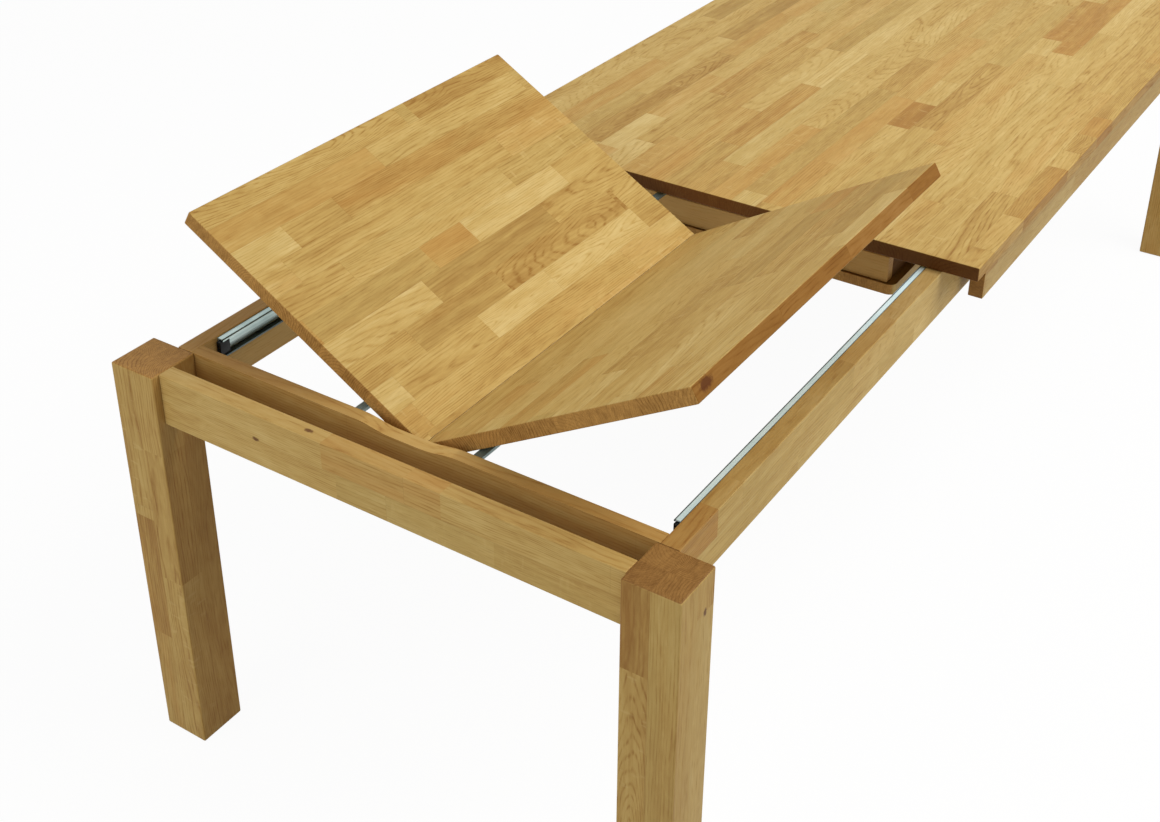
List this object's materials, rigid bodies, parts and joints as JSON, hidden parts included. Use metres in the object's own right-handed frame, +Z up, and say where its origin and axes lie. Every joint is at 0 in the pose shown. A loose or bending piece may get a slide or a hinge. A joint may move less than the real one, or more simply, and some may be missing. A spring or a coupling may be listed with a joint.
{
  "type": "draw leaf table",
  "caption": "Extending oak dining table drawn open at one end, its hinged folding leaf half raised in the gap over steel bearers, with telescopic side slides.",
  "frame": {"origin": "on the floor under the middle of the table as it stands drawn out", "axes": "+X along the table away from the end that draws out, +Y to the left side seen from that end, +Z up"},
  "size_m": [2.726, 1, 0.9395],
  "materials": {
    "oak_top": "oiled oak staves",
    "oak_leaf": "oiled oak staves",
    "oak_legs": "oiled oak staves",
    "oak_frame": "oiled oak staves",
    "oak_tray": "plain oak board",
    "zinc_steel": "blue-bright zinc plate",
    "bearer_steel": "bright drawn steel",
    "hinge_brass": "satin",
    "hinge_steel": "satin",
    "black_plastic": "moulded",
    "glide_plastic": "moulded"
  },
  "bodies": {
    "table": {"table_top": "oak_top", "far_leg_left": "oak_legs", "far_leg_right": "oak_legs", "side_apron_left": "oak_frame", "side_apron_right": "oak_frame", "far_end_apron": "oak_frame", "tray_floor": "oak_tray", "tray_front_wall": "oak_tray", "tray_rear_wall": "oak_tray", "tray_side_left": "oak_tray", "tray_side_right": "oak_tray", "slide_beam_left": "oak_frame", "slide_beam_right": "oak_frame", "slide_fixed_left": "zinc_steel", "slide_fixed_right": "zinc_steel", "bearer_guide_left": "black_plastic", "bearer_guide_right": "black_plastic", "far_glides": "glide_plastic"},
    "end_frame": {"near_leg_left": "oak_legs", "near_leg_right": "oak_legs", "end_apron": "oak_frame", "inner_end_rail": "oak_frame", "side_rail_left": "oak_frame", "side_rail_right": "oak_frame", "slide_outer_left": "zinc_steel", "slide_outer_right": "zinc_steel", "slide_stop_left": "black_plastic", "slide_stop_right": "black_plastic", "leaf_bearer_left": "bearer_steel", "leaf_bearer_right": "bearer_steel", "bearer_screws": "zinc_steel", "near_glides": "glide_plastic"},
    "slide_member_left": {"slide_middle_left": "zinc_steel"},
    "slide_member_right": {"slide_middle_right": "zinc_steel"},
    "leaf_crease": {"hinge_links": "hinge_steel"},
    "leaf_left": {"leaf_half_left": "oak_leaf", "hinge_barrels_left": "hinge_brass"},
    "leaf_right": {"leaf_half_right": "oak_leaf", "hinge_barrels_right": "hinge_brass"}
  },
  "joints": [
    {"name": "frame_pull", "type": "slide", "parent": "table", "child": "end_frame", "axis": [1, 0, 0], "range_m": [0, 0.048]},
    {"name": "slide_left_travel", "type": "slide", "parent": "table", "child": "slide_member_left", "axis": [1, 0, 0], "range_m": [0, 0.0245]},
    {"name": "slide_right_travel", "type": "slide", "parent": "table", "child": "slide_member_right", "axis": [1, 0, 0], "range_m": [0, 0.0245]},
    {"name": "leaf_rise", "type": "slide", "parent": "end_frame", "child": "leaf_crease", "axis": [0, 0, 1], "range_m": [-0.038, 0.059]},
    {"name": "leaf_left_fold", "type": "hinge", "parent": "leaf_crease", "child": "leaf_left", "pos_m": [-0.852, 0, 0.69175], "axis": [1, 0, 0], "range_deg": [-30.5, 19.5]},
    {"name": "leaf_right_fold", "type": "hinge", "parent": "leaf_crease", "child": "leaf_right", "pos_m": [-0.852, 0, 0.69175], "axis": [-1, 0, 0], "range_deg": [-30.6, 19.6]}
  ],
  "couplings": [
    {"joint": "slide_left_travel", "follows": "frame_pull", "ratio": 0.5},
    {"joint": "slide_right_travel", "follows": "frame_pull", "ratio": 0.5},
    {"joint": "leaf_rise", "follows": "leaf_left_fold", "m_per_rad": -0.1099},
    {"joint": "leaf_right_fold", "follows": "leaf_left_fold", "ratio": 1}
  ]
}
